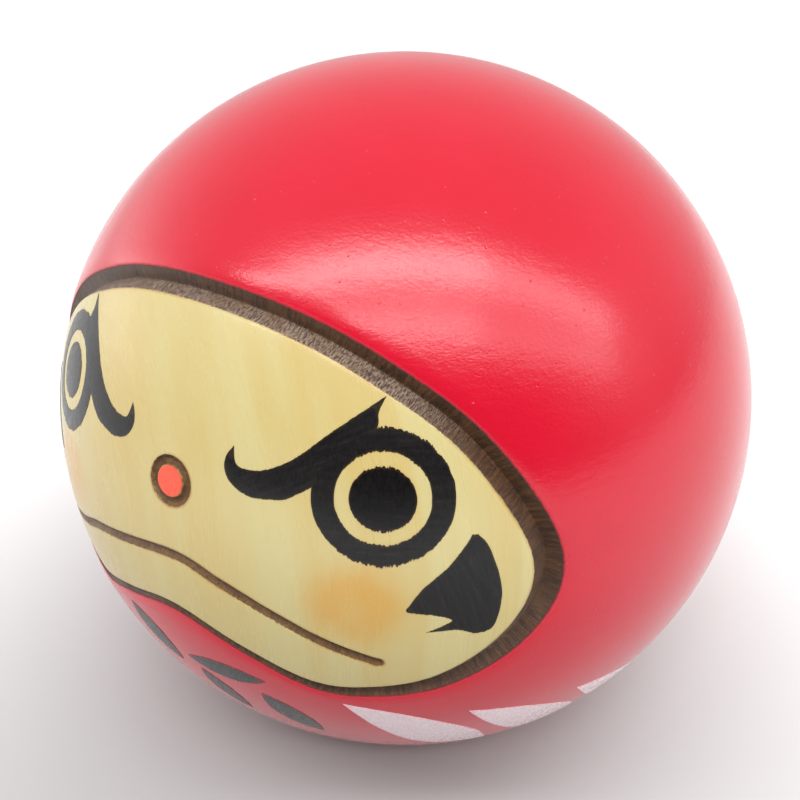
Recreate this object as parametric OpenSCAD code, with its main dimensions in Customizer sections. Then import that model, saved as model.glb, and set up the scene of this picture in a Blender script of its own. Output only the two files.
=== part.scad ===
// Daruma doll: a turned wooden ball with a steel slug low in it, so that it rocks back upright.
// The ball wears a red lacquer coat with an opening for a bare wooden face.
// The face is edged by a carved V groove, has an engraved mouth and nose ring, and painted features.
//
// Frame: origin at the centre of the foot, +Z up, the doll looks along -Y, its left hand is +X.
// A place on the ball is [longitude, latitude] in degrees: longitude 0 is straight ahead and grows
// towards +X, latitude 0 is level with the ball's centre.

/* [Ball] */
// Radius of the ball over its lacquer
ball_r = 35; // [30:0.5:45]
// Thickness of the red lacquer
coat_t = 0.2; // [0.15:0.05:0.4]
// Thickness of a brushed mark
paint_t = 0.1; // [0.08:0.02:0.2]
// Radius of the flat foot
foot_r = 13; // [11.5:0.5:16]
// Height of the bare wood left between the foot and the lacquer
bare_edge = 0.6; // [0.4:0.1:2]

/* [Ballast] */
// Radius of the hole drilled up from the foot
bore_r = 9; // [6:0.5:10]
// Length of the steel slug
slug_h = 16; // [8:1:22]
// Length of the wooden plug under the slug
plug_h = 5; // [3:0.5:8]
// How far the plug sits up inside the hole
plug_recess = 0.3; // [0.1:0.1:1]
// Gap all round the slug and the plug, filled with glue
glue_gap = 0.05; // [0.02:0.01:0.1]

/* [Grooves] */
// Depth of the groove round the face, as a share of its width
groove_depth = 0.45; // [0.3:0.05:0.6]
// Place of the groove's lowest line across its width, from the lacquer's edge
groove_low = 0.4; // [0.3:0.05:0.6]
// Width of the engraved mouth line
mouth_w = 1; // [0.6:0.1:1.5]
// Depth of the mouth line, as a share of its width
mouth_depth = 0.4; // [0.3:0.05:0.6]

/* [Face] */
// Longitude of each eye
eye_lon = 30.2; // [26:0.1:32]
// Latitude of the eyes
eye_lat = 21.2; // [18:0.1:24]
// Outer radius of the black ring round an eye
ring_r = 5.25; // [4.5:0.05:5.5]
// Inner radius of that ring
ring_inner_r = 3.55; // [3.2:0.05:4]
// Radius of a pupil
pupil_r = 2.45; // [1.5:0.05:3]
// Latitude of the nose
nose_lat = 17.8; // [15:0.1:20]
// Radius of the red dot on the nose
nose_r = 1.25; // [0.8:0.05:1.5]
// Radius of the engraved ring round the dot
nose_ring_r = 1.7; // [1.6:0.05:2]
// Radius of that ring's round section
nose_cut_r = 0.4; // [0.2:0.05:0.45]

/* [Robe] */
// Number of white strokes on each side
robe_strokes_a_side = 5; // [2:1:8]
// Longitude of the first stroke's tip
robe_first = 24.4; // [20:0.1:30]
// Degrees from one stroke to the next
robe_step = 17.7; // [17:0.1:24]
// Latitude of the first stroke's tip
robe_lat = -13.2; // [-18:0.1:-12.5]
// Degrees by which each tip lies lower than the one before
robe_fall = 2.3; // [0:0.1:3]

/* [Hidden] */
$fn = 96;
wood_r = ball_r - coat_t;
ball_z = sqrt(wood_r * wood_r - foot_r * foot_r);
k = ball_r / 35; // the brushed outlines below are in millimetres on a ball of 35 mm radius
curve_steps = 4;
bore_h = plug_recess + plug_h + slug_h + 2 * glue_gap;
past = 1; // how far a cutter runs past the surface it cuts
lift = 1.4; // how far a groove cutter's walls run on, as a share of the groove's depth
wide = 3 * ball_r;

// Right half of the face's edge, from the forehead down to the chin: [longitude, latitude, groove width].
face_half = [
    [0, 43.8, 1.9],
    [15.7, 42.4, 1.95],
    [29.7, 37.9, 2],
    [42.6, 29.7, 2.1],
    [51.3, 17.6, 2.3],
    [53.2, 8, 2.4],
    [48.2, -1, 2.1],
    [38.4, -8.1, 1.6],
    [28.6, -10.7, 1.3],
    [20.5, -10.5, 1],
    [10.3, -5.8, 0.7],
    [0, -2.7, 0.65]
];
face_loop = concat(
    face_half,
    [for (i = [len(face_half) - 2:-1:1]) mirrored(face_half[i])]
);
face_middle = [0, 16.5];

// Right half of the mouth, from its middle outwards: [longitude, latitude, line width].
mouth_half = [
    [0, 7.2, mouth_w],
    [8.3, 5.7, mouth_w],
    [15.5, 3, mouth_w],
    [22.1, -0.1, mouth_w],
    [28.4, -2.7, mouth_w],
    [29.6, -3.1, mouth_w / 2]
];
mouth_line = concat(
    [for (i = [len(mouth_half) - 1:-1:1]) mirrored(mouth_half[i])],
    mouth_half
);
mouth_end = mouth_line[len(mouth_line) - 1];

// Marks round the eye on the +X side, in millimetres from the eye's middle.
// Brow: its top, its underside and its inner end.
brow_top = [
    [0.1, 7.4],
    [-3.4, 5],
    [-6.4, 2.7],
    [-8.7, 1.6],
    [-10.2, 1.5],
    [-11, 1.9],
    [-11.1, 3.2]
];
brow_under = [
    [-11.1, 3.2],
    [-11.7, 2.4],
    [-11.9, 1.4],
    [-11.4, 0.3],
    [-10.1, -0.5],
    [-8.4, -0.6],
    [-6.6, -0.2],
    [-2.6, 2.4]
];
brow_end = [[-2.6, 2.4], [-0.6, 5], [-0.4, 6.3], [0.1, 7.4]];

// Whisker: its outer side, its two-pointed foot and its inner side.
whisker_back = [
    [6.5, -2.7],
    [7.1, -2.8],
    [8, -4.2],
    [8.9, -7.4],
    [8.5, -10.5],
    [7.3, -11.3],
    [5.6, -10.9],
    [3.3, -11.1]
];
whisker_notch = [[3.3, -11.1], [4.9, -10.3], [5.2, -9.9], [4, -9.5], [2, -9.2], [1.8, -8.9]];
whisker_front = [[1.8, -8.9], [3.1, -7], [4.8, -5.3], [6, -3.6], [6.5, -2.7]];

// White robe stroke, in millimetres from its tip: its upper edge, then its lower edge.
robe_upper = [[0, 0], [4.7, -1.3], [8.6, -4], [11, -7.6], [11.6, -12.6]];
robe_lower = [[11.6, -12.6], [8, -11.2], [5.3, -8.6], [2.9, -4.9], [0, 0]];

// Black leaves on the belly: [longitude, latitude, slant, length, width].
leaves = [
    [-7.3, -12.6, -46, 7, 3.2],
    [6.3, -12.6, 8, 8.4, 2.4],
    [3.9, -20.6, -60, 6.8, 2.8],
    [15.6, -20.9, -55, 7.8, 3.2]
];

function mirrored(p) = [-p[0], p[1], p[2]];
function unit(v) = v / norm(v);
function heading(p) = [cos(p[1]) * sin(p[0]), -cos(p[1]) * cos(p[0]), sin(p[1])];

// A smooth curve through the points p, from b to c between its neighbours a and d.
function between(a, b, c, d, t) =
    (2 * b + (c - a) * t + (2 * a - 5 * b + 4 * c - d) * t * t + (3 * b - a - 3 * c + d) * t * t * t) / 2;
function run(p) = [
    for (i = [0:len(p) - 2], s = [0:curve_steps - 1])
        between(p[max(i - 1, 0)], p[i], p[i + 1], p[min(i + 2, len(p) - 1)], s / curve_steps)
];
function ring(p) = [
    for (i = [0:len(p) - 1], s = [0:curve_steps - 1])
        between(p[(i + len(p) - 1) % len(p)], p[i], p[(i + 1) % len(p)], p[(i + 2) % len(p)], s / curve_steps)
];

module ball(r) {
    translate([0, 0, ball_z]) sphere(r);
}

module below(z) {
    translate([-wide / 2, -wide / 2, z - wide]) cube(wide);
}

// Stands its child on the ball's centre: x to the right, y up the ball and z straight out.
module facing(lon, lat) {
    translate([0, 0, ball_z]) rotate([90 - lat, 0, lon]) children();
}

// A straight column from the ball's middle out past its surface, of a 2-D child.
module column(lon, lat) {
    facing(lon, lat) linear_extrude(ball_r + past) children();
}

module both_sides() {
    children();
    mirror([1, 0, 0]) children();
}

// A skin of paint on the ball of radius r, wherever a child reaches it.
module paint_on(r) {
    intersection() {
        difference() {
            ball(r + paint_t);
            ball(r);
        }
        union() children();
    }
}

// A wedge from the ball's centre out through a closed loop of places.
module cone_through(loop, middle) {
    n = len(loop);
    reach = 1.2 * ball_r;
    points = concat(
        [[0, 0, 0], reach * heading(middle)],
        [for (p = loop) reach * heading(p)]
    );
    cap = [for (i = [0:n - 1]) [1, i + 2, (i + 1) % n + 2]];
    walls = [for (i = [0:n - 1]) [0, (i + 1) % n + 2, i + 2]];
    translate([0, 0, ball_z]) polyhedron(points, concat(cap, walls));
}

// The cutter of a V groove along a path of [longitude, latitude, width]. Its lips lie lip_a and lip_b
// widths to the right of the path, its lowest line low widths, and it is depth widths deep.
module v_cutter(path, closed, lip_a, lip_b, low, depth) {
    n = len(path);
    out = [for (p = path) heading(p)];
    last = closed ? n - 1 : n - 2;
    points = [
        for (i = [0:n - 1])
            let (
                before = out[closed ? (i + n - 1) % n : max(i - 1, 0)],
                after = out[closed ? (i + 1) % n : min(i + 1, n - 1)],
                right = unit(cross(after - before, out[i])),
                w = path[i][2],
                bottom = (wood_r - depth * w) * unit(wood_r * out[i] + low * w * right)
            )
            for (lip = [lip_a, lip_b, low])
                bottom + (lip == low ? 0 : lift) * (wood_r * unit(wood_r * out[i] + lip * w * right) - bottom)
    ];
    sides = [
        for (i = [0:last], j = [0:2])
            let (
                a = 3 * i + j,
                b = 3 * ((i + 1) % n) + j,
                c = 3 * ((i + 1) % n) + (j + 1) % 3,
                d = 3 * i + (j + 1) % 3
            )
            for (tri = [[a, b, c], [a, c, d]]) tri
    ];
    ends = closed ? [] : [[0, 1, 2], [3 * n - 1, 3 * n - 2, 3 * n - 3]];
    translate([0, 0, ball_z]) polyhedron(points, concat(sides, ends));
}

module turned_body() {
    color("burlywood") difference() {
        ball(wood_r);
        below(0);
        v_cutter(ring(face_loop), true, 0, 1, groove_low, groove_depth);
        v_cutter(concat(run(mouth_line), [mouth_end]), false, -0.5, 0.5, 0, mouth_depth);
        facing(0, nose_lat) translate([0, 0, wood_r]) rotate_extrude()
            translate([nose_ring_r, 0]) circle(nose_cut_r);
        translate([0, 0, -past]) cylinder(r = bore_r, h = past + bore_h);
    }
}

module lacquer_coat() {
    color("crimson") difference() {
        ball(ball_r);
        ball(wood_r);
        below(bare_edge);
        cone_through(ring(face_loop), face_middle);
    }
}

module steel_slug() {
    color("silver") translate([0, 0, plug_recess + plug_h + glue_gap])
        cylinder(r = bore_r - glue_gap, h = slug_h);
}

module foot_plug() {
    color("tan") translate([0, 0, plug_recess]) cylinder(r = bore_r - glue_gap, h = plug_h);
}

module eye_rings() {
    color("black") paint_on(wood_r) both_sides() column(eye_lon, eye_lat) difference() {
        circle(ring_r);
        circle(ring_inner_r);
    }
}

module pupils() {
    color("black") paint_on(wood_r) both_sides() column(eye_lon, eye_lat) circle(pupil_r);
}

module brow_strokes() {
    color("black") paint_on(wood_r) both_sides() column(eye_lon, eye_lat) difference() {
        polygon(k * concat(run(brow_top), run(brow_under), run(brow_end)));
        circle(ring_r);
    }
}

module whisker_strokes() {
    color("black") paint_on(wood_r) both_sides() column(eye_lon, eye_lat)
        polygon(k * concat(run(whisker_back), run(whisker_notch), run(whisker_front)));
}

module nose_dot() {
    color("tomato") paint_on(wood_r) column(0, nose_lat) circle(nose_r);
}

module belly_leaves() {
    color("dimgray") paint_on(ball_r) for (leaf = leaves) {
        long = k * leaf[3] / 2;
        half = k * leaf[4] / 2;
        bow_r = (long * long + half * half) / (2 * half);
        column(leaf[0], leaf[1]) rotate(leaf[2]) intersection_for(side = [-1, 1])
            translate([0, side * (bow_r - half)]) circle(bow_r);
    }
}

module robe_strokes() {
    color("mistyrose") paint_on(ball_r) both_sides() for (i = [0:robe_strokes_a_side - 1])
        column(robe_first + i * robe_step, robe_lat - i * robe_fall)
            polygon(k * concat(run(robe_upper), run(robe_lower)));
}

turned_body();
lacquer_coat();
steel_slug();
foot_plug();
eye_rings();
pupils();
brow_strokes();
whisker_strokes();
nose_dot();
belly_leaves();
robe_strokes();
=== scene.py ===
"""A daruma doll: a turned wooden ball with a carved bare face, under a satin red lacquer coat.

Lengths are millimetres, and make_mesh turns them into metres. A place on the ball is (longitude,
latitude) in degrees: longitude 0 is straight ahead, along -Y, and grows towards +X.
"""

import bmesh
import bpy
import numpy as np
from mathutils import Matrix, Vector
from mathutils.geometry import delaunay_2d_cdt


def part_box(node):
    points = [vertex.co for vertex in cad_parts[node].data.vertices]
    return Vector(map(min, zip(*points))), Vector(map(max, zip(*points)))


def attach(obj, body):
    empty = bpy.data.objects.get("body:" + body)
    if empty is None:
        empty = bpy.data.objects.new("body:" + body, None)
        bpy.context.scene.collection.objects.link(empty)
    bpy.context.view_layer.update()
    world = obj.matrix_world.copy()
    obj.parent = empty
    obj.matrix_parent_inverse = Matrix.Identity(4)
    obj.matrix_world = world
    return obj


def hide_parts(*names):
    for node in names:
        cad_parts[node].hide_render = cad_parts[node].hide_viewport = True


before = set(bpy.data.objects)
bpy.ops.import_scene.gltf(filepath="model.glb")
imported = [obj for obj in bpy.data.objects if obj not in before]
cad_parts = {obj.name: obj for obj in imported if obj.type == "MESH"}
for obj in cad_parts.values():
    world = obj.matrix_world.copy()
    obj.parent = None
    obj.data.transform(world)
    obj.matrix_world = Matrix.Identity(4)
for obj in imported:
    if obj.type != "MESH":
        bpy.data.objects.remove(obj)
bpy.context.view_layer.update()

# ---------------------------------------------------------------- sizes, from the frame

MM = 0.001
BALL_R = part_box("lacquer_coat")[1].x / MM
CENTRE_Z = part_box("lacquer_coat")[1].z / MM - BALL_R
WOOD_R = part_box("turned_body")[1].z / MM - CENTRE_Z
COAT_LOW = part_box("lacquer_coat")[0].z / MM
PLUG_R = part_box("foot_plug")[1].x / MM
PLUG_LOW, PLUG_HIGH = (sheen_low_corners.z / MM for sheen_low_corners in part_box("foot_plug"))
SLUG_LOW, SLUG_HIGH = (sheen_low_corners.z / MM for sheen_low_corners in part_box("steel_slug"))
GLUE_GAP = SLUG_LOW - PLUG_HIGH
BORE_R = PLUG_R + GLUE_GAP
FOOT_CHAMFER, BORE_CHAMFER = 0.25, 0.3
COAT_GAP = 0.005  # between the wood and the coat's inner face, so that the two don't flicker
COAT_LIP = 0.02  # the coat's thickness at the groove's lip
COAT_TAPER = 1.8  # how far from the lip the coat reaches its full thickness
PAINT_T = 0.04  # how far brushed paint stands proud of what is under it

# ---------------------------------------------------------------- the drawing, as in the design

FACE_MIDDLE = (0, 16.5)
# Right half of the face's edge, from forehead to chin: longitude, latitude, groove width.
FACE_HALF = [
    (0, 43.8, 1.9),
    (15.7, 42.4, 1.95),
    (29.7, 37.9, 2.0),
    (42.6, 29.7, 2.1),
    (51.3, 17.6, 2.3),
    (53.2, 8.0, 2.4),
    (48.2, -1.0, 2.1),
    (38.4, -8.1, 1.6),
    (28.6, -10.7, 1.3),
    (20.5, -10.5, 1.0),
    (10.3, -5.8, 0.7),
    (0, -2.7, 0.65),
]
GROOVE_DEPTH, GROOVE_LOW = 0.45, 0.4  # as shares of its width
# Right half of the mouth, from its middle outwards.
MOUTH_HALF = [(0, 7.2), (8.3, 5.7), (15.5, 3.0), (22.1, -0.1), (28.4, -2.7), (29.6, -3.1)]
MOUTH_W, MOUTH_DEPTH = 1.0, 0.4
NOSE = (0, 17.8)
NOSE_R, NOSE_RING_R, NOSE_CUT_R = 1.25, 1.7, 0.4
EYE = (30.2, 21.2)
RING_R, RING_INNER_R, PUPIL_R = 5.25, 3.55, 2.45
BLUSH = (26.9, 6.4)
BLUSH_R = 3.4
# Outlines of the brushed marks beside an eye, from the eye's middle. Each run is smooth, and the runs
# meet at points.
BROW = [
    [(0.1, 7.4), (-3.4, 5.0), (-6.4, 2.7), (-8.7, 1.6), (-10.2, 1.5), (-11.0, 1.9), (-11.1, 3.2)],
    [
        *[(-11.1, 3.2), (-11.7, 2.4), (-11.9, 1.4), (-11.4, 0.3)],
        *[(-10.1, -0.5), (-8.4, -0.6), (-6.6, -0.2), (-2.6, 2.4)],
    ],
    [(-2.6, 2.4), (-0.6, 5.0), (-0.4, 6.3), (0.1, 7.4)],
]
WHISKER = [
    [
        *[(6.5, -2.7), (7.1, -2.8), (8.0, -4.2), (8.9, -7.4)],
        *[(8.5, -10.5), (7.3, -11.3), (5.6, -10.9), (3.3, -11.1)],
    ],
    [(3.3, -11.1), (4.9, -10.3), (5.2, -9.9), (4.0, -9.5), (2.0, -9.2), (1.8, -8.9)],
    [(1.8, -8.9), (3.1, -7.0), (4.8, -5.3), (6.0, -3.6), (6.5, -2.7)],
]
ROBE_STROKE = [
    [(0, 0), (4.7, -1.3), (8.6, -4.0), (11.0, -7.6), (11.6, -12.6)],
    [(11.6, -12.6), (8.0, -11.2), (5.3, -8.6), (2.9, -4.9), (0, 0)],
]
ROBE_STROKES_A_SIDE = 5
ROBE_FIRST, ROBE_STEP = 24.4, 17.7  # longitude of the first tip, and from one to the next
ROBE_LAT, ROBE_FALL = -13.2, 2.3  # latitude of the first tip, and how far each next one lies lower
# Leaves on the belly: longitude, latitude, slant, length, width.
LEAVES = [
    (-7.3, -12.6, -46, 7.0, 3.2),
    (6.3, -12.6, 8, 8.4, 2.4),
    (3.9, -20.6, -60, 6.8, 2.8),
    (15.6, -20.9, -55, 7.8, 3.2),
]

# ---------------------------------------------------------------- geometry on the ball


def heading(lon, lat):
    """Unit vectors out of the ball at these places."""
    lon, lat = np.radians(lon), np.radians(lat)
    return np.stack([np.cos(lat) * np.sin(lon), -np.cos(lat) * np.cos(lon), np.sin(lat)], -1)


def directions(place):
    """The ways right, up and out at a place on the ball."""
    lon, lat = np.radians(place[0]), np.radians(place[1])
    right = np.array([np.cos(lon), np.sin(lon), 0])
    up = np.array([-np.sin(lat) * np.sin(lon), np.sin(lat) * np.cos(lon), np.cos(lat)])
    return right, up, heading(*place)


def flatten(out, place=FACE_MIDDLE):
    """Lays unit vectors flat round a place, keeping their arc lengths from it on the wood."""
    right, up, middle = directions(place)
    x, y = out @ right, out @ up
    arc = np.arctan2(np.hypot(x, y), out @ middle) * WOOD_R
    around = np.arctan2(y, x)
    return np.stack([arc * np.cos(around), arc * np.sin(around)], -1)


def unflatten(flat, place=FACE_MIDDLE):
    """The unit vectors that flatten lays at these points."""
    right, up, middle = directions(place)
    arc = np.hypot(flat[:, 0], flat[:, 1])
    turn = arc / WOOD_R
    across = (flat[:, :1] * right + flat[:, 1:2] * up) / np.maximum(arc, 1e-9)[:, None]
    return np.cos(turn)[:, None] * middle + np.sin(turn)[:, None] * across


def lift(points, place, radius):
    """Points drawn on the tangent plane at a place, pushed straight in onto a ball of this radius."""
    right, up, out = directions(place)
    x, y = points[:, :1], points[:, 1:2]
    return x * right + y * up + np.sqrt(radius**2 - x**2 - y**2) * out


def smooth(points, steps, closed=False):
    """A curve through the points. A closed one doesn't repeat its first point."""
    p = np.array(points, float)
    last = len(p) if closed else len(p) - 1
    at = np.arange(last)
    if closed:
        a, b, c, d = (p[(at + k) % len(p)] for k in (-1, 0, 1, 2))
    else:
        a, b, c, d = (p[np.clip(at + k, 0, len(p) - 1)] for k in (-1, 0, 1, 2))
    t = (np.arange(steps) / steps)[None, :, None]
    a, b, c, d = (q[:, None] for q in (a, b, c, d))
    curve = 2 * b + (c - a) * t + (2 * a - 5 * b + 4 * c - d) * t**2 + (3 * b - a - 3 * c + d) * t**3
    curve = (curve / 2).reshape(-1, p.shape[1])
    return curve if closed else np.vstack([curve, p[-1:]])


def mirrored(half):
    """The half turned over to the other side, in reverse and without its end points."""
    return [(-p[0], *p[1:]) for p in half[-2:0:-1]]


def spaced(line, count, closed):
    """The same line, with count points at equal steps."""
    whole = np.vstack([line, line[:1]]) if closed else line
    run = np.r_[0, np.cumsum(np.linalg.norm(np.diff(whole[:, :2], axis=0), axis=1))]
    at = np.linspace(0, run[-1], count, endpoint=not closed)
    return np.stack([np.interp(at, run, whole[:, k]) for k in range(whole.shape[1])], -1)


def rightward(line, closed):
    """Unit vectors to the right of a flat line at each of its points."""
    if closed:
        along = np.roll(line, -1, 0) - np.roll(line, 1, 0)
    else:
        along = np.gradient(line, axis=0)
    along = along[:, :2] / np.linalg.norm(along[:, :2], axis=1)[:, None]
    return np.stack([along[:, 1], -along[:, 0]], -1)


def nearest(points, line, closed):
    """For each point: its distance to the right of the line, and how far along the line it is."""
    a = line[:, :2] if closed else line[:-1, :2]
    b = np.roll(line[:, :2], -1, 0) if closed else line[1:, :2]
    ab = b - a
    length = np.linalg.norm(ab, axis=1)
    start = np.r_[0, np.cumsum(length)[:-1]]
    far, along = np.empty(len(points)), np.empty(len(points))
    for low in range(0, len(points), 4000):
        p = points[low : low + 4000, None, :]
        t = np.clip(((p - a) * ab).sum(-1) / length**2, 0, 1)
        gap = p - a - t[..., None] * ab
        distance = np.hypot(gap[..., 0], gap[..., 1])
        k = distance.argmin(1)
        row = np.arange(len(k))
        side = gap[row, k, 0] * ab[k, 1] - gap[row, k, 1] * ab[k, 0]
        far[low : low + 4000] = distance[row, k] * np.where(side < 0, -1, 1)
        along[low : low + 4000] = start[k] + t[row, k] * length[k]
    return far, along


def inside(points, loops):
    """Whether each point is inside an odd number of the loops."""
    within = np.zeros(len(points), bool)
    x, y = points[:, 0], points[:, 1]
    for loop in loops:
        for (x1, y1), (x2, y2) in zip(loop[:, :2], np.roll(loop[:, :2], -1, 0), strict=True):
            if y1 != y2:
                crosses = (y1 > y) != (y2 > y)
                within ^= crosses & (x < (x2 - x1) * (y - y1) / (y2 - y1) + x1)
    return within


def lattice(low, high, step):
    """Points of a triangular grid over a rectangle."""
    x = np.arange(low[0], high[0], step)
    y = np.arange(low[1], high[1], step * 0.866)
    gx, gy = np.meshgrid(x, y)
    gx = gx + (np.arange(len(y)) % 2 * step / 2)[:, None]
    return np.stack([gx.ravel(), gy.ravel()], -1)


def rough(x, y, seed, wrap=None):
    """Smooth random numbers from -1 to 1 over the plane, one lattice step to a unit."""
    size = wrap or 997
    table = np.random.default_rng(seed).uniform(-1, 1, (size, 61))
    ix, iy = np.floor(x).astype(int), np.floor(y).astype(int)
    fx, fy = x - ix, y - iy
    fx, fy = fx * fx * (3 - 2 * fx), fy * fy * (3 - 2 * fy)
    a, b = table[ix % size, iy % 61], table[(ix + 1) % size, iy % 61]
    c, d = table[ix % size, (iy + 1) % 61], table[(ix + 1) % size, (iy + 1) % 61]
    return (a * (1 - fx) + b * fx) * (1 - fy) + (c * (1 - fx) + d * fx) * fy


def triangles(points, edges):
    """Delaunay triangles over flat points, keeping these edges."""
    found = delaunay_2d_cdt([Vector(p) for p in points], edges, [], 0, 1e-7, True)
    place = np.array([first[0] if first else -1 for first in found[3]])
    faces = place[np.array(found[2])]
    return faces[(faces >= 0).all(1)]


def loop_edges(start, count):
    """The edges of a closed loop of points, from its first point's number."""
    return [(start + i, start + (i + 1) % count) for i in range(count)]


def make_object(name, mesh, material, replaces, sharp=35):
    """Makes a finished piece from a mesh in metres, which rides on the one body."""
    for polygon in mesh.polygons:
        polygon.use_smooth = True
    mesh.set_sharp_from_angle(angle=np.radians(sharp))
    mesh.materials.append(material)
    piece = bpy.data.objects.new(name, mesh)
    bpy.context.scene.collection.objects.link(piece)
    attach(piece, "root")
    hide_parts(*replaces)


def make_mesh(name, points, faces, **attributes):
    """A mesh in metres from points in millimetres round the ball's middle, which hold the attributes."""
    mesh = bpy.data.meshes.new(name)
    placed = (points + [0, 0, CENTRE_Z]) * MM
    mesh.from_pydata(placed.tolist(), [], [list(map(int, f)) for f in faces])
    for key, values in attributes.items():
        kind = "FLOAT_VECTOR" if values.ndim == 2 else "FLOAT"
        field = "vector" if values.ndim == 2 else "value"
        layer = mesh.attributes.new(key, kind, "POINT")
        layer.data.foreach_set(field, np.ascontiguousarray(values, np.float32).ravel())
    mesh.validate()
    return mesh


# ---------------------------------------------------------------- the face's lines, laid flat

EDGE_POINTS = 840
face_loop = np.array(smooth(FACE_HALF + mirrored(FACE_HALF), 24, closed=True))
face_edge = np.column_stack([flatten(heading(face_loop[:, 0], face_loop[:, 1])), face_loop[:, 2]])
face_edge = spaced(face_edge, EDGE_POINTS, closed=True)
face_in = rightward(face_edge, closed=True)
groove_w = face_edge[:, 2]
edge_run = np.linalg.norm(face_edge[:, :2] - np.roll(face_edge[:, :2], -1, 0), axis=1).sum()

mouth_line = smooth(mirrored([*MOUTH_HALF, (0, 0)])[:-1] + MOUTH_HALF, 12)
mouth_line = spaced(flatten(heading(mouth_line[:, 0], mouth_line[:, 1])), 520, closed=False)
nose_middle = flatten(heading(*NOSE)[None])[0]


def soft_min(a, b, blend):
    """The lesser of a and b, rounded where they are close."""
    return (a + b - np.sqrt((a - b) ** 2 + blend**2)) / 2


def soft_rise(a, blend):
    """a where it is well above 0, and 0 where it is well below."""
    return (a + np.sqrt(a**2 + blend**2)) / 2


def carve(flat):
    """How deep the wood is cut at flat points of the face, and what the cuts did to its surface."""
    off, along = nearest(flat, face_edge, closed=True)
    turn = along / edge_run * EDGE_POINTS
    width = np.interp(turn, np.arange(EDGE_POINTS + 1), np.r_[groove_w, groove_w[:1]])
    across = off / width
    wall = soft_min(across / GROOVE_LOW, (1 - across) / (1 - GROOVE_LOW), 0.12)
    chatter = rough(along / edge_run * 560, across * 3, 3, wrap=560)
    chatter = chatter + 0.7 * rough(along / edge_run * 1100, across * 7, 4, wrap=1100)
    in_groove = np.clip(soft_rise(wall, 0.08), 0, 1)
    groove = GROOVE_DEPTH * width * in_groove + 0.022 * chatter * np.clip(in_groove * 4, 0, 1)

    mouth_off, mouth_along = nearest(flat, mouth_line, closed=False)
    mouth_across = 1 - np.abs(mouth_off) / (MOUTH_W / 2)
    scratch = rough(mouth_along / 0.45, mouth_off / 0.3, 5)
    in_mouth = np.clip(soft_rise(mouth_across, 0.1), 0, 1)
    mouth = MOUTH_DEPTH * MOUTH_W * in_mouth + 0.02 * scratch * np.clip(in_mouth * 3, 0, 1)

    nose_out = np.hypot(*(flat - nose_middle).T)
    nose_off = 1 - ((nose_out - NOSE_RING_R) / NOSE_CUT_R) ** 2
    in_nose = np.clip(soft_rise(nose_off, 0.1), 0, 1)
    nose = NOSE_CUT_R * np.sqrt(in_nose) * np.clip(in_nose * 3, 0, 1)

    # How far inside a cut each point is, in millimetres. The wood is burnt where this is above 0.
    burn = np.maximum.reduce(
        [
            np.minimum(off + 0.3, width - off),
            MOUTH_W / 2 - np.abs(mouth_off),
            NOSE_CUT_R + 0.05 - np.abs(nose_out - NOSE_RING_R),
        ]
    )
    circle = along / edge_run * 2 * np.pi
    reach = edge_run / (2 * np.pi)
    ring = np.stack([reach * np.cos(circle), reach * np.sin(circle), across], -1)
    return groove + mouth + nose, dict(burn=burn, groove_at=ring, groove_part=np.clip(width - off, -1, 1))


# ---------------------------------------------------------------- the pieces' shapes


def hood(points, rows, radius_of, arc_of):
    """Points carried from the face's edge over the back of the ball. Row k lies at radius_of(k) and, from 0
    at the edge to 1 at the far pole, at arc_of(k)."""
    arc = np.hypot(points[:, 0], points[:, 1])
    way = points[:, :2] / arc[:, None]
    end = np.pi * WOOD_R
    out = []
    for row in range(rows):
        at = arc + (end - arc) * arc_of(row)
        out.append(unflatten(way * at[:, None]) * radius_of(row))
    return np.concatenate(out)


def strip(rows, columns):
    """Quads between neighbouring rings of points."""
    faces = []
    for r in range(rows - 1):
        a = r * columns + np.arange(columns)
        b = r * columns + (np.arange(columns) + 1) % columns
        faces.append(np.stack([a, b, b + columns, a + columns], -1))
    return np.concatenate(faces)


def slice_off(bm, z):
    """Cuts away what is below z, and returns the cut's edges."""
    everything = bm.verts[:] + bm.edges[:] + bm.faces[:]
    bmesh.ops.bisect_plane(
        bm, geom=everything, dist=1e-7, plane_co=(0, 0, z * MM), plane_no=(0, 0, 1), clear_inner=True
    )
    return [e for e in bm.edges if e.is_boundary and all(abs(v.co.z - z * MM) < 1e-6 for v in e.verts)]


def turn_on(bm, edges, profile):
    """Carries a round edge on through (radius, height) steps about the Z axis, then closes it."""
    for radius, z in profile:
        made = bmesh.ops.extrude_edge_only(bm, edges=edges)["geom"]
        edges = [g for g in made if isinstance(g, bmesh.types.BMEdge)]
        for v in {v for e in edges for v in e.verts}:
            out = Vector((v.co.x, v.co.y)).normalized() * radius * MM
            v.co = (out.x, out.y, z * MM)
    bmesh.ops.contextual_create(bm, geom=edges)


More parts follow.
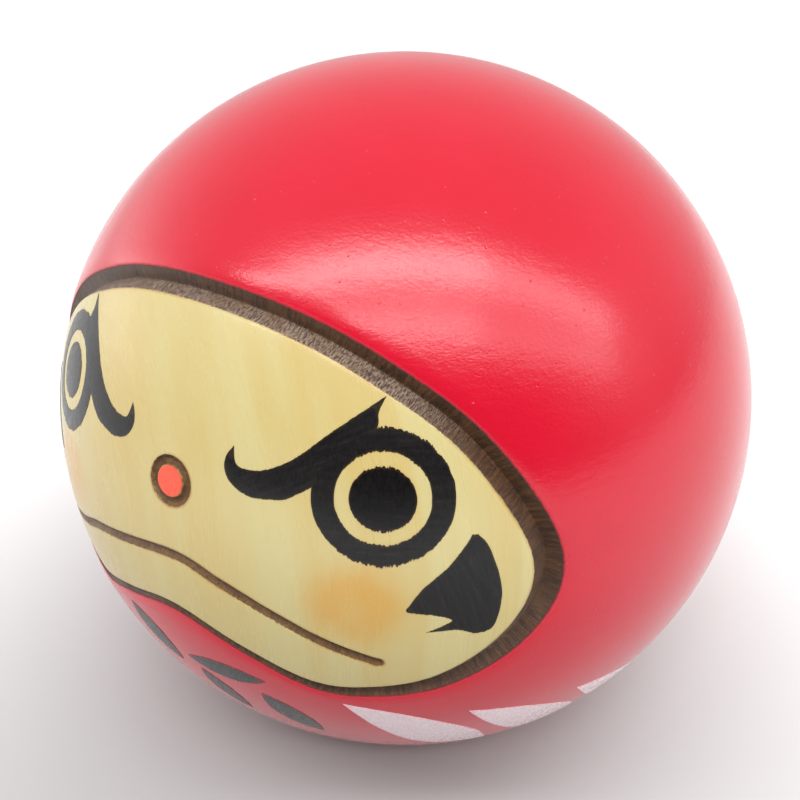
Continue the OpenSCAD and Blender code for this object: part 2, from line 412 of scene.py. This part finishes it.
def wood_mesh():
    """The ball with its carved face, its foot and the hole drilled up from it."""
    # Rows of points follow each cut, close together at its lips and its bottom.
    over = [0, 0.07, 0.14, 0.22, 0.3, 0.36, 0.4, 0.44, 0.5, 0.58]
    over += [0.67, 0.76, 0.85, 0.92, 0.97, 1, 1.04, 1.12, 1.25]
    rings = [face_edge[:, :2] + face_in * (k * groove_w)[:, None] for k in over]
    side = rightward(mouth_line, closed=False)
    aside = MOUTH_W * np.array([0.12, 0.25, 0.4, 0.5, 0.6, 0.75])
    mouth_rows = [mouth_line + side * k for k in (*-aside, 0, *aside)]
    # Half circles of points go round both ends of the mouth.
    turn = np.linspace(0, np.pi, 15)[1:-1, None]
    for end, across, ahead in ((-1, side[-1], 1), (0, side[0], -1)):
        onward = ahead * np.array([-across[1], across[0]])
        mouth_rows += [mouth_line[end] + k * (np.cos(turn) * across + np.sin(turn) * onward) for k in aside]
    around = np.linspace(0, 2 * np.pi, 96, endpoint=False)
    circle = np.stack([np.cos(around), np.sin(around)], -1)
    out = [0.25, 0.6, 0.95, 1.15, 1.25, 1.3, 1.36, 1.45, 1.58]
    out += [1.7, 1.82, 1.95, 2.04, 2.1, 2.16, 2.3]
    nose_rows = [nose_middle + circle * r for r in out]
    grid = lattice(face_edge[:, :2].min(0), face_edge[:, :2].max(0), 0.42)
    off, along = nearest(grid, face_edge, closed=True)
    width = np.interp(along / edge_run * EDGE_POINTS, np.arange(EDGE_POINTS), groove_w)
    keep = inside(grid, [face_edge]) & (off > 1.25 * width + 0.2)
    keep &= np.abs(nearest(grid, mouth_line, closed=False)[0]) > 0.75 * MOUTH_W + 0.15
    keep &= np.hypot(*(grid - nose_middle).T) > 2.5
    flat = np.vstack([*rings, *mouth_rows, *nose_rows, [nose_middle], grid[keep]])
    faces = triangles(flat, loop_edges(0, EDGE_POINTS))
    faces = faces[inside(flat[faces].mean(1), [face_edge])]
    depth, marks = carve(flat)
    depth[:EDGE_POINTS] = 0
    points = unflatten(flat) * (WOOD_R - depth)[:, None]

    back_rows = 44
    back = hood(face_edge, back_rows, lambda row: WOOD_R, lambda row: (row + 1) / (back_rows + 1))
    pole = unflatten(np.array([[0.0, np.pi * WOOD_R]])) * WOOD_R
    # Ring 0 is the lip itself, so the quads start there and jump over the rest of the face.
    quads = strip(back_rows + 1, EDGE_POINTS)
    quads = np.where(quads < EDGE_POINTS, quads, quads + len(points) - EDGE_POINTS)
    points = np.vstack([points, back, pole])
    last = len(points) - 1 - EDGE_POINTS
    fan = [(last + (i + 1) % EDGE_POINTS, last + i, len(points) - 1) for i in range(EDGE_POINTS)]
    fill = len(points) - len(flat)
    for key, values in marks.items():
        blank = np.full((fill, *values.shape[1:]), -1.0)
        marks[key] = np.concatenate([values, blank])
    marks["blush"] = blush(points)
    mesh = make_mesh("wood", points, [*faces.tolist(), *quads[:, ::-1].tolist(), *fan], **marks)

    bm = bmesh.new()
    bm.from_mesh(mesh)
    cut = slice_off(bm, FOOT_CHAMFER)
    rim = np.sqrt(WOOD_R**2 - (CENTRE_Z - FOOT_CHAMFER) ** 2)
    hole_top = SLUG_HIGH + GLUE_GAP
    foot = [(rim - FOOT_CHAMFER, 0), (BORE_R + BORE_CHAMFER, 0), (BORE_R, BORE_CHAMFER)]
    turn_on(bm, cut, [*foot, (BORE_R, hole_top), (BORE_R * 0.5, hole_top)])
    bmesh.ops.recalc_face_normals(bm, faces=bm.faces)
    bm.to_mesh(mesh)
    bm.free()
    return mesh


def blush(points):
    """How far inside the blush on the nearer cheek each point is, from 1 at its middle to 0."""
    side = np.where(points[:, 0] < 0, -1, 1)
    middle = heading(BLUSH[0] * side, np.full(len(points), BLUSH[1]))
    away = np.linalg.norm(points - middle * WOOD_R, axis=1) / BLUSH_R
    return np.clip(1 - away / 1.6, 0, 1)


def coat_mesh():
    """The lacquer, a closed skin over the ball from the groove's lip to just above the foot."""
    inside_r = WOOD_R + COAT_GAP
    whole = np.pi * WOOD_R - 24  # from the lip to the far pole, about
    # From the inner pole to the lip, up to the full thickness, and on to the outer pole.
    rows = [(inside_r, t) for t in np.linspace(1, 0, 28)[1:]]
    taper = COAT_TAPER / whole
    low = inside_r + COAT_LIP
    rows += [(low + (BALL_R - low) * np.sin(np.pi / 2 * r), taper * r**1.5) for r in np.linspace(0, 1, 10)]
    rows += [(BALL_R, taper + (1 - taper) * t) for t in np.linspace(0, 1, 62)[1:-1]]
    columns = EDGE_POINTS
    shape = hood(face_edge, len(rows), lambda row: rows[row][0], lambda row: rows[row][1])
    far = unflatten(np.array([[0.0, np.pi * WOOD_R]]))
    points = np.vstack([shape, far * rows[0][0], far * rows[-1][0]])
    quads = strip(len(rows), columns)
    inner_pole, outer_pole = len(shape), len(shape) + 1
    last = (len(rows) - 1) * columns
    caps = [((i + 1) % columns, i, inner_pole) for i in range(columns)]
    caps += [(last + i, last + (i + 1) % columns, outer_pole) for i in range(columns)]
    reach = np.pi * WOOD_R - np.hypot(face_edge[:, 0], face_edge[:, 1])
    from_lip = np.concatenate([*[t * reach for _, t in rows], reach[:2]])
    mesh = make_mesh("coat", points, [*quads.tolist(), *caps], from_lip=from_lip)
    bm = bmesh.new()
    bm.from_mesh(mesh)
    cut = slice_off(bm, COAT_LOW)
    bmesh.ops.bridge_loops(bm, edges=cut)
    bmesh.ops.recalc_face_normals(bm, faces=bm.faces)
    bm.to_mesh(mesh)
    bm.free()
    return mesh


def frayed(loop, amount, seed):
    """A mark's outline, with the small teeth that ink makes as it creeps along the upright grain."""
    normal = rightward(loop, closed=True)
    teeth = rough(loop[:, 0] / 0.075, loop[:, 1] / 0.4, seed)
    teeth = teeth + 0.5 * rough(loop[:, 0] / 0.3, loop[:, 1] / 0.6, seed + 1)
    even = rough(loop[:, 0] / 0.7, loop[:, 1] / 0.7, seed + 2)
    shift = np.stack([0.35 * even * normal[:, 0], normal[:, 1] * teeth + 0.35 * even * normal[:, 1]], -1)
    return loop + amount * shift


def film(place, loops, radius, step, sunk=0.03):
    """Points and faces of a thin layer of paint between outlines drawn at a place on the ball."""
    edges, start = [], 0
    for loop in loops:
        edges += loop_edges(start, len(loop))
        start += len(loop)
    rim = np.vstack(loops)
    grid = lattice(rim.min(0), rim.max(0), step)
    grid = grid[inside(grid, loops)]
    gap = np.min([np.abs(nearest(grid, loop, closed=True)[0]) for loop in loops], axis=0)
    flat = np.vstack([rim, grid[gap > step * 0.35]])
    faces = triangles(flat, edges)
    faces = faces[inside(flat[faces].mean(1), loops)]
    drop = np.r_[np.full(len(rim), 0.3), np.zeros(len(flat) - len(rim))] * PAINT_T
    top = lift(flat, place, radius + PAINT_T)
    top *= (1 - drop / radius)[:, None]
    low = lift(flat, place, radius - sunk)
    count = len(flat)
    walls = [(a, b, b + count, a + count) for a, b in edges]
    return np.vstack([top, low]), [*faces.tolist(), *(faces[:, ::-1] + count).tolist(), *walls], flat


def films_mesh(name, drawings, radius, step):
    """One mesh of several films. Each drawing is (place, outlines, the way its brush moved in degrees)."""
    points, faces, brush = [], [], []
    for place, loops, slant in drawings:
        made, its_faces, flat = film(place, loops, radius, step)
        start = sum(map(len, points))
        faces += [[start + i for i in f] for f in its_faces]
        points.append(made)
        c, s = np.cos(np.radians(slant)), np.sin(np.radians(slant))
        along = flat[:, 0] * c + flat[:, 1] * s
        across = flat[:, 1] * c - flat[:, 0] * s
        gap = np.min([np.abs(nearest(flat, loop, closed=True)[0]) for loop in loops], axis=0)
        both = np.stack([along, across, gap], -1)
        brush += [both, both]
    mesh = make_mesh(name, np.vstack(points), faces, brush_at=np.vstack(brush))
    bm = bmesh.new()
    bm.from_mesh(mesh)
    bmesh.ops.recalc_face_normals(bm, faces=bm.faces)
    bm.to_mesh(mesh)
    bm.free()
    return mesh


def outline(runs, side=1, step=0.06):
    """A closed outline from smooth runs that meet at points, at even steps, turned over for side -1."""
    line = np.vstack([smooth(run, 16)[:-1] for run in runs])
    run = np.linalg.norm(line - np.roll(line, -1, 0), axis=1).sum()
    return spaced(line, int(run / step), closed=True) * [side, 1]


def round_line(radius, step=0.035):
    """A circle round the drawing's middle."""
    around = np.linspace(0, 2 * np.pi, int(2 * np.pi * radius / step), endpoint=False)
    return radius * np.stack([np.cos(around), np.sin(around)], -1)


def leaf_line(slant, length, width):
    """Two arcs that meet at points."""
    half, bulge = length / 2, width / 2
    bow = (half**2 + bulge**2) / (2 * bulge)
    swing = np.arcsin(half / bow)
    at = np.linspace(-swing, swing, 40)[:-1]
    upper = np.stack([bow * np.sin(at), bow * np.cos(at) - bow + bulge], -1)
    line = np.vstack([upper, -upper])
    c, s = np.cos(np.radians(slant)), np.sin(np.radians(slant))
    return spaced(line @ np.array([[c, s], [-s, c]]), int(2.2 * length / 0.1), closed=True)


def lathe_mesh(name, profile, columns=160):
    """A solid turned about the Z axis, from (radius, height) steps with both ends on the axis."""
    around = np.linspace(0, 2 * np.pi, columns, endpoint=False)
    ring = np.stack([np.cos(around), np.sin(around), np.zeros(columns)], -1)
    rings = [ring * r + [0, 0, z - CENTRE_Z] for r, z in profile[1:-1]]
    ends = [[0, 0, profile[0][1] - CENTRE_Z], [0, 0, profile[-1][1] - CENTRE_Z]]
    points = np.vstack([*rings, ends])
    first, last = len(points) - 2, len(points) - 1
    top = (len(rings) - 1) * columns
    fans = [((i + 1) % columns, i, first) for i in range(columns)]
    fans += [(top + i, top + (i + 1) % columns, last) for i in range(columns)]
    return make_mesh(name, points, [*strip(len(rings), columns).tolist(), *fans])


# ---------------------------------------------------------------- materials


class Paint:
    """A material's node tree, with places in millimetres."""

    def __init__(self, name, **fixed):
        self.material = bpy.data.materials.new(name)
        self.material.use_nodes = True
        self.tree = self.material.node_tree
        self.shader = self.tree.nodes["Principled BSDF"]
        for key, value in fixed.items():
            self.shader.inputs[key.replace("_", " ").title().replace("Ior", "IOR")].default_value = value
        own = self.node("TexCoord").outputs["Object"]
        self.place = self.vector("MULTIPLY", own, (1 / MM,) * 3)

    def node(self, kind, inputs=(), **settings):
        """A new node. inputs are numbers or other nodes' outputs, by name or number."""
        made = self.tree.nodes.new("ShaderNode" + kind)
        for key, value in settings.items():
            setattr(made, key, value)
        for key, value in dict(inputs).items():
            self.feed(made.inputs[key], value)
        return made

    def feed(self, socket, value):
        if isinstance(value, bpy.types.NodeSocket):
            self.tree.links.new(value, socket)
        else:
            socket.default_value = value

    def vector(self, operation, a, b):
        return self.node("VectorMath", {0: a, 1: b}, operation=operation).outputs["Vector"]

    def math(self, operation, a, b=0.0):
        return self.node("Math", {0: a, 1: b}, operation=operation).outputs[0]

    def length(self, vector):
        return self.node("VectorMath", {0: vector}, operation="LENGTH").outputs["Value"]

    def parts(self, vector):
        """The vector's outputs by letter: X, Y and Z."""
        return self.node("SeparateXYZ", {"Vector": vector}).outputs

    def held(self, name, field="Fac"):
        """A number or vector held on the mesh's points."""
        return self.node("Attribute", attribute_name=name).outputs[field]

    def noise(self, scale, detail=2.0, roughness=0.5, place=None):
        """Noise from 0 to 1. scale is steps per millimetre along X, Y and Z."""
        stretched = self.vector("MULTIPLY", place or self.place, scale)
        inputs = {"Vector": stretched, "Scale": 1.0, "Detail": detail, "Roughness": roughness}
        return self.node("TexNoise", inputs).outputs["Fac"]

    def span(self, value, low, high, to_low=0.0, to_high=1.0):
        """value from low to high becomes to_low to to_high, in a soft step."""
        inputs = {"Value": value, "From Min": low, "From Max": high, "To Min": to_low, "To Max": to_high}
        return self.node("MapRange", inputs, interpolation_type="SMOOTHSTEP").outputs["Result"]

    def mix(self, share, a, b):
        """Colour a where share is 0, and b where it is 1."""
        made = self.node("Mix", data_type="RGBA")
        self.feed(made.inputs["Factor"], share)
        for key, value in (("A", a), ("B", b)):
            socket = next(s for s in made.inputs if s.name == key and s.type == "RGBA")
            self.feed(socket, value if isinstance(value, bpy.types.NodeSocket) else (*value, 1.0))
        return next(s for s in made.outputs if s.type == "RGBA")

    def bump(self, height, depth, under=None):
        """Raises the surface by depth millimetres where height is 1."""
        inputs = {"Height": height, "Distance": depth * MM, "Strength": 1.0}
        if under:
            inputs["Normal"] = under
        return self.node("Bump", inputs).outputs["Normal"]

    def finish(self, **driven):
        """The material, with these inputs of its shader fed."""
        for key, value in driven.items():
            self.feed(self.shader.inputs[key.replace("_", " ").title()], value)
        return self.material


def bare_wood():
    p = Paint("bare_wood", ior=1.47, sheen_weight=0.08, sheen_roughness=0.35)
    # The growth rings stand upright and run back to the right across the face.
    turned = {"Vector": p.place, "Angle": np.radians(-54)}
    rings = p.node("VectorRotate", turned, rotation_type="Z_AXIS").outputs[0]
    sway = p.node("CombineXYZ", {"X": p.noise((0.05, 0.05, 0.04), 1.0)}).outputs[0]
    bent = p.vector("ADD", rings, p.vector("MULTIPLY", sway, (3, 0, 0)))
    bands = p.noise((0.38, 0.05, 0.010), 1.5, 0.5, bent)
    lines = p.noise((1.8, 0.3, 0.02), 2.0, 0.5, bent)
    fibre = p.noise((9.0, 9.0, 0.7), 2.0, 0.6, bent)
    clouds = p.noise((0.09, 0.09, 0.06), 2.0)
    wood = p.mix(p.span(bands, 0.36, 0.66), (0.540, 0.462, 0.212), (0.525, 0.402, 0.150))
    wood = p.mix(p.span(lines, 0.4, 0.75, 0.0, 0.16), wood, (0.48, 0.355, 0.125))
    wood = p.mix(p.span(fibre, 0.55, 0.8, 0.0, 0.06), wood, (0.39, 0.28, 0.095))
    wood = p.mix(p.span(clouds, 0.3, 0.7, 0.0, 0.3), wood, (0.57, 0.50, 0.25))
    blotch = p.noise((0.33, 0.33, 0.28), 1.0)
    red = p.math("MULTIPLY", p.span(p.held("blush"), 0.0, 0.7), p.span(blotch, 0.3, 0.65, 0.75, 1.0))
    wood = p.mix(p.math("MULTIPLY", red, 0.78), wood, (0.56, 0.29, 0.045))

    burn = p.held("burn")
    fray = p.math("MULTIPLY", p.math("SUBTRACT", p.noise((5.5, 5.5, 2.0), 2.0), 0.5), 0.16)
    edge = p.math("ADD", burn, fray)
    patches = p.noise((0.25, 0.25, 0.25), 1.0)
    scorch = p.math("MULTIPLY", p.span(edge, -0.22, 0.02), p.span(patches, 0.35, 0.65, 0.25, 0.85))
    wood = p.mix(scorch, wood, (0.42, 0.24, 0.06))
    ring = p.held("groove_at", "Vector")
    streaks = p.noise((3.4, 3.4, 1.6), 3.0, 0.65, ring)
    hairs = p.noise((9.5, 9.5, 6.0), 2.0, 0.6, ring)
    patchy = p.noise((0.35, 0.35, 0.35), 2.0)
    across = p.parts(ring)["Z"]
    slope = p.span(p.math("ADD", across, p.math("MULTIPLY", hairs, 0.18)), 0.40, 0.62)
    dark = p.mix(p.span(streaks, 0.35, 0.7), (0.036, 0.012, 0.003), (0.105, 0.042, 0.012))
    # pale: dark burnt brown with light hairs, which are painted glints of the lamps on the burnt fibres.
    pale = p.mix(p.span(hairs, 0.40, 0.62), (0.060, 0.033, 0.020), (0.29, 0.205, 0.150))
    # Painted sheen and glints: the inner slope's pale colour is put only above and at the lower corners,
    # where the lamps catch it, and stays dark burnt brown elsewhere.
    aside = p.math("ABSOLUTE", p.parts(p.place)["X"])
    height = p.math("SUBTRACT", p.parts(p.place)["Z"], CENTRE_Z)
    above = p.math("MULTIPLY", p.span(aside, 14, 22, 1.0, 0.0), p.span(height, 4, 10))
    sheen_low_corners = p.math("MULTIPLY", p.span(aside, 17, 21), p.span(height, -1, 5, 0.7, 0.0))
    groove = p.mix(p.math("MULTIPLY", slope, p.math("MAXIMUM", above, sheen_low_corners)), dark, pale)
    groove = p.mix(p.span(patchy, 0.5, 0.7, 0.0, 0.35), groove, (0.14, 0.065, 0.022))
    brown = p.mix(p.span(streaks, 0.3, 0.7), (0.085, 0.036, 0.009), (0.170, 0.082, 0.022))
    burnt = p.mix(p.span(p.held("groove_part"), 0.0, 0.02), brown, groove)
    deep = p.span(edge, 0.0, 0.10)
    colour = p.mix(deep, wood, burnt)

    surface = p.bump(p.noise((14, 14, 1.2), 2.0), 0.003)
    surface = p.bump(p.math("MULTIPLY", p.noise((9.0, 9.0, 5.0), 3.0, 0.7, ring), deep), 0.11, surface)
    gloss = p.span(lines, 0.3, 0.8, 0.26, 0.33)
    gloss = p.math("ADD", gloss, p.math("MULTIPLY", deep, 0.14))
    return p.finish(base_color=colour, roughness=gloss, normal=surface)


def red_lacquer():
    p = Paint("red_lacquer", ior=1.5, sheen_weight=0.12, sheen_roughness=0.35)
    cloud = p.noise((0.12, 0.12, 0.12), 2.0)
    red = p.mix(p.span(cloud, 0.3, 0.7), (0.525, 0.0035, 0.020), (0.545, 0.0045, 0.023))
    # Painted shade: the red turns dark maroon along the groove's lip, where shade falls, and it is also
    # rougher there.
    lip_shade_reach = p.math("ADD", p.held("from_lip"), p.math("MULTIPLY", p.noise((3, 3, 3), 2.0), 0.2))
    past_lip_shade = p.span(lip_shade_reach, 0.08, 0.34)
    red = p.mix(past_lip_shade, (0.075, 0.009, 0.006), red)
    waves = p.noise((0.9, 0.9, 2.2), 1.0, 0.5)
    peel = p.noise((3.6, 3.6, 6.5), 2.0, 0.6)
    cells = p.node("TexVoronoi", {"Vector": p.vector("MULTIPLY", p.place, (0.9,) * 3), "Scale": 1.0})
    pick = p.node("SeparateColor", {0: cells.outputs["Color"]}).outputs
    centre = cells.outputs["Distance"]
    pit = p.math("MULTIPLY", p.span(centre, 0.05, 0.11, 1.0, 0.0), p.math("GREATER_THAN", pick[0], 0.7))
    dust = p.math("MULTIPLY", p.span(centre, 0.03, 0.10, 1.0, 0.0), p.math("LESS_THAN", pick[0], 0.3))
    surface = p.bump(waves, 0.012)
    surface = p.bump(peel, 0.013, surface)
    surface = p.bump(p.math("SUBTRACT", dust, pit), 0.02, surface)
    gloss = p.math("ADD", p.span(cloud, 0.3, 0.7, 0.19, 0.22), p.span(lip_shade_reach, 0.1, 0.5, 0.4, 0.0))
    return p.finish(base_color=red, roughness=gloss, normal=surface)


def brushed_ink(name, dark, light, worn, worn_share):
    """Ink or paint from a brush: streaks along the stroke, and worn by worn_share at its edge."""
    p = Paint(name, ior=1.34)
    brush = p.held("brush_at", "Vector")
    streaks = p.noise((0.35, 3.2, 0.0), 3.0, 0.6, brush)
    grain = p.noise((3.5, 3.5, 0.4), 1.0)
    colour = p.mix(p.span(streaks, 0.3, 0.7), dark, light)
    gap = p.parts(brush)["Z"]
    thin = p.span(p.math("ADD", gap, p.math("MULTIPLY", grain, -0.1)), 0.0, 0.12, worn_share, 0.0)
    patchy = p.math("MAXIMUM", thin, p.span(streaks, 0.58, 0.78, 0.0, worn_share))
    colour = p.mix(patchy, colour, worn)
    gloss = p.span(grain, 0.3, 0.7, 0.24, 0.32)
    surface = p.bump(streaks, 0.002)
    return p.finish(base_color=colour, roughness=gloss, normal=surface)


def end_grain():
    p = Paint("plug_wood", coat_weight=0.0, ior=1.5)
    off_axis = p.vector("ADD", p.place, (6.0, 2.5, 0.0))
    out = p.length(p.vector("MULTIPLY", off_axis, (1, 1, 0)))
    wobble = p.math("MULTIPLY", p.noise((0.2, 0.2, 0.2), 2.0), 2.5)
    rings = p.math("SINE", p.math("MULTIPLY", p.math("ADD", out, wobble), 5.0))
    wood = p.mix(p.span(rings, -0.6, 1.0), (0.70, 0.55, 0.29), (0.50, 0.35, 0.15))
    pores = p.noise((6, 6, 6), 2.0)
    wood = p.mix(p.span(pores, 0.55, 0.75, 0.0, 0.5), wood, (0.34, 0.22, 0.09))
    surface = p.bump(pores, 0.03)
    return p.finish(base_color=wood, roughness=p.span(pores, 0.3, 0.7, 0.55, 0.75), normal=surface)


def sawn_steel():
    p = Paint("slug_steel", metallic=1.0)
    drawn = p.noise((5, 5, 0.2), 3.0, 0.6)
    steel = p.mix(p.span(drawn, 0.3, 0.7), (0.50, 0.50, 0.49), (0.36, 0.355, 0.35))
    gloss = p.span(drawn, 0.3, 0.7, 0.3, 0.5)
    return p.finish(base_color=steel, roughness=gloss, normal=p.bump(drawn, 0.01))


# ---------------------------------------------------------------- the pieces


def make_ball():
    make_object("turned_body_wood", wood_mesh(), bare_wood(), ["turned_body"])
    make_object("lacquer_coat_red", coat_mesh(), red_lacquer(), ["lacquer_coat"], sharp=60)


def make_face_marks():
    """The rings, pupils, brows and whiskers round both eyes, and the dot on the nose."""
    rings, pupils, brows, whiskers = [], [], [], []
    for n, side in enumerate((1, -1)):
        place = (EYE[0] * side, EYE[1])
        seed = 20 + 10 * n
        ring = [frayed(round_line(RING_R), 0.13, seed), frayed(round_line(RING_INNER_R), 0.10, seed + 3)]
        rings.append((place, ring, 0))
        pupils.append((place, [frayed(round_line(PUPIL_R), 0.11, seed + 6)], 0))
        brows.append((place, [frayed(outline(BROW, side), 0.04, seed + 9)], 25 * side))
        whiskers.append((place, [frayed(outline(WHISKER, side), 0.05, seed + 12)], -70 * side))
    thin_brown = (0.06, 0.035, 0.015)
    black = brushed_ink("black_ink", (0.007, 0.006, 0.006), (0.012, 0.011, 0.011), thin_brown, 0.3)
    thin_brown = (0.05, 0.02, 0.01)
    deep = brushed_ink("deep_black_ink", (0.003, 0.0025, 0.0025), (0.005, 0.004, 0.004), thin_brown, 0.4)
    marks = [
        ("eye_ring_ink", rings, black, "eye_rings"),
        ("pupil_ink", pupils, deep, "pupils"),
        ("brow_ink", brows, black, "brow_strokes"),
        ("whisker_ink", whiskers, black, "whisker_strokes"),
    ]
    for name, drawings, ink, node in marks:
        make_object(name, films_mesh(name, drawings, WOOD_R, 0.5), ink, [node])

    coral = brushed_ink("coral_paint", (0.76, 0.085, 0.045), (0.80, 0.105, 0.060), (0.62, 0.10, 0.05), 0.25)
    dot = [(NOSE, [frayed(round_line(NOSE_R, 0.06), 0.03, 60)], 40)]
    make_object("nose_paint", films_mesh("nose", dot, WOOD_R, 0.25), coral, ["nose_dot"])


def make_robe_marks():
    """The leaves on the belly, and the row of white strokes round each side."""
    grey = brushed_ink("grey_ink", (0.035, 0.040, 0.042), (0.06, 0.064, 0.066), (0.24, 0.02, 0.03), 0.4)
    leaves = [
        ((lon, lat), [frayed(leaf_line(slant, length, width), 0.05, 70 + n)], slant)
        for n, (lon, lat, slant, length, width) in enumerate(LEAVES)
    ]
    leaf_mesh = films_mesh("leaves", leaves, BALL_R, 0.5)
    make_object("belly_leaf_ink", leaf_mesh, grey, ["belly_leaves"])

    white = brushed_ink("white_paint", (0.80, 0.62, 0.66), (0.83, 0.70, 0.73), (0.76, 0.34, 0.38), 0.4)
    strokes = []
    for side in (1, -1):
        for n in range(ROBE_STROKES_A_SIDE):
            tip = (side * (ROBE_FIRST + n * ROBE_STEP), ROBE_LAT - n * ROBE_FALL)
            strokes.append((tip, [frayed(outline(ROBE_STROKE, side), 0.05, 90 + n)], -47 * side))
    stroke_mesh = films_mesh("strokes", strokes, BALL_R, 0.6)
    make_object("robe_stroke_paint", stroke_mesh, white, ["robe_strokes"])


def make_weight():
    """The steel slug in the hole, and the plug below it with the rings that a lathe leaves on its face."""
    plug = [(0, PLUG_LOW), (1.2, PLUG_LOW)]
    plug += [(r, PLUG_LOW + 0.03 * (n % 2)) for n, r in enumerate(np.arange(1.6, PLUG_R - 0.5, 0.4))]
    plug += [(PLUG_R - 0.3, PLUG_LOW), (PLUG_R, PLUG_LOW + 0.3)]
    plug += [(PLUG_R, PLUG_HIGH - 0.3), (PLUG_R - 0.3, PLUG_HIGH), (0, PLUG_HIGH)]
    make_object("foot_plug_wood", lathe_mesh("plug", plug), end_grain(), ["foot_plug"])
    slug = [(0, SLUG_LOW), (PLUG_R - 0.4, SLUG_LOW), (PLUG_R, SLUG_LOW + 0.4)]
    slug += [(PLUG_R, SLUG_HIGH - 0.4), (PLUG_R - 0.4, SLUG_HIGH), (0, SLUG_HIGH)]
    make_object("slug_steel", lathe_mesh("slug", slug), sawn_steel(), ["steel_slug"])


# ---------------------------------------------------------------- studio

CENTRE = Vector((0, 0, CENTRE_Z * MM))
SEEN_FROM = (33.0, 33.3)
SEEN_DISTANCE = 2.9 * BALL_R * MM


def aim(thing, place, distance, at=CENTRE):
    """Puts a lamp or camera out from a point at a place, looking back at it, level."""
    right, up, out = directions(place)
    thing.location = at + Vector(out) * distance
    thing.rotation_euler = Matrix((right, up, out)).transposed().to_euler()


# Rows of ceiling lamps run across the view. Each: name, how far its middle is from over the ball, towards
# the camera and to the right, then its length and width, all as shares of the ceiling's height, and watts
# to the square metre.
CEILING = 1.2
ROWS = [
    ("near_row", 0.315, -0.38, 1.65, 0.19, 34.5),
    ("near_row_end", 0.33, 1.20, 1.50, 0.21, 17.5),
    ("far_row", 0.74, 0.0, 0.95, 0.17, 33.5),
    ("far_row_end", 0.80, 1.55, 2.20, 0.30, 11.0),
    ("dull_panel", 0.53, 0.70, 3.00, 0.20, 4.0),
]
# Soft bright places in the room: longitude, latitude, spread in degrees, strength.
GLOWS = [(-74, -7, 15, 3.2), (108, 20, 12, 1.0)]


def ceiling_row(name, near, right, length, width, glow):
    lamp = bpy.data.lights.new(name, "AREA")
    lamp.shape = "RECTANGLE"
    lamp.size, lamp.size_y = length * CEILING, width * CEILING
    lamp.energy = glow * lamp.size * lamp.size_y
    made = bpy.data.objects.new(name, lamp)
    bpy.context.scene.collection.objects.link(made)
    turn = np.radians(SEEN_FROM[0])
    towards, across = Vector((np.sin(turn), -np.cos(turn), 0)), Vector((np.cos(turn), np.sin(turn), 0))
    made.location = CENTRE + (towards * near + across * right + Vector((0, 0, 1))) * CEILING
    made.rotation_euler = (0, 0, turn)


def make_room():
    """A room that is bright over and behind the doll and dark on the camera's side, with soft glows."""
    world = bpy.data.worlds.new("room")
    world.use_nodes = True
    tree = world.node_tree
    tree.nodes["Background"].inputs["Color"].default_value = (1, 1, 1, 1)
    ways = tree.nodes.new("ShaderNodeTexCoord").outputs["Generated"]

    def facing(lon, lat):
        made = tree.nodes.new("ShaderNodeVectorMath")
        made.operation = "DOT_PRODUCT"
        tree.links.new(ways, made.inputs[0])
        made.inputs[1].default_value = heading(lon, lat)
        return made.outputs["Value"]

    def math(operation, *values):
        made = tree.nodes.new("ShaderNodeMath")
        made.operation = operation
        for socket, value in zip(made.inputs, values, strict=False):
            if isinstance(value, bpy.types.NodeSocket):
                tree.links.new(value, socket)
            else:
                socket.default_value = value
        return made.outputs[0]

    behind = tree.nodes.new("ShaderNodeMapRange")
    behind.interpolation_type = "SMOOTHSTEP"
    tree.links.new(facing(SEEN_FROM[0] - 180, 35), behind.inputs["Value"])
    for key, value in (("From Min", -0.2), ("From Max", 0.5), ("To Min", 0.08), ("To Max", 0.75)):
        behind.inputs[key].default_value = value
    total = behind.outputs["Result"]
    for lon, lat, spread, strength in GLOWS:
        sharp = 1 / np.radians(spread) ** 2
        glow = math("EXPONENT", math("MULTIPLY_ADD", facing(lon, lat), sharp, -sharp))
        total = math("MULTIPLY_ADD", glow, strength, total)
    tree.links.new(total, tree.nodes["Background"].inputs["Strength"])
    bpy.context.scene.world = world


def make_floor():
    """A pale floor with a painted shadow: greyer in front of the doll."""
    floor_mesh = bpy.data.meshes.new("floor")
    bm = bmesh.new()
    bmesh.ops.create_grid(bm, x_segments=8, y_segments=8, size=3.0)
    bm.to_mesh(floor_mesh)
    bm.free()
    p = Paint("pale_floor", coat_weight=0.0)
    away = p.length(p.vector("SUBTRACT", p.place, (15, -48, 0)))
    cloth = p.noise((0.02, 0.02, 0.02), 2.0)
    tone = p.mix(cloth, (0.80, 0.80, 0.80), (0.83, 0.83, 0.83))
    # Painted shadow: a soft grey patch on the floor in front of the doll.
    tone = p.mix(p.span(away, 15, 112, 1.0, 0.0), tone, (0.38, 0.38, 0.38))
    floor_mesh.materials.append(p.finish(base_color=tone, roughness=0.9))
    floor = bpy.data.objects.new("floor", floor_mesh)
    bpy.context.scene.collection.objects.link(floor)


def make_studio():
    """The camera, floor, room and ceiling lamps."""
    scene = bpy.context.scene
    scene.view_settings.view_transform = "Standard"
    scene.view_settings.look = "None"

    camera = bpy.data.cameras.new("camera")
    camera.lens, camera.sensor_width = 42.5, 36.0
    camera.shift_x, camera.shift_y = -0.00625, -0.0025
    camera.clip_start, camera.clip_end = 0.005, 20.0
    holder = bpy.data.objects.new("camera", camera)
    scene.collection.objects.link(holder)
    aim(holder, SEEN_FROM, SEEN_DISTANCE)
    scene.camera = holder

    make_floor()
    make_room()
    for row in ROWS:
        ceiling_row(*row)


make_ball()
make_face_marks()
make_robe_marks()
make_weight()
make_studio()
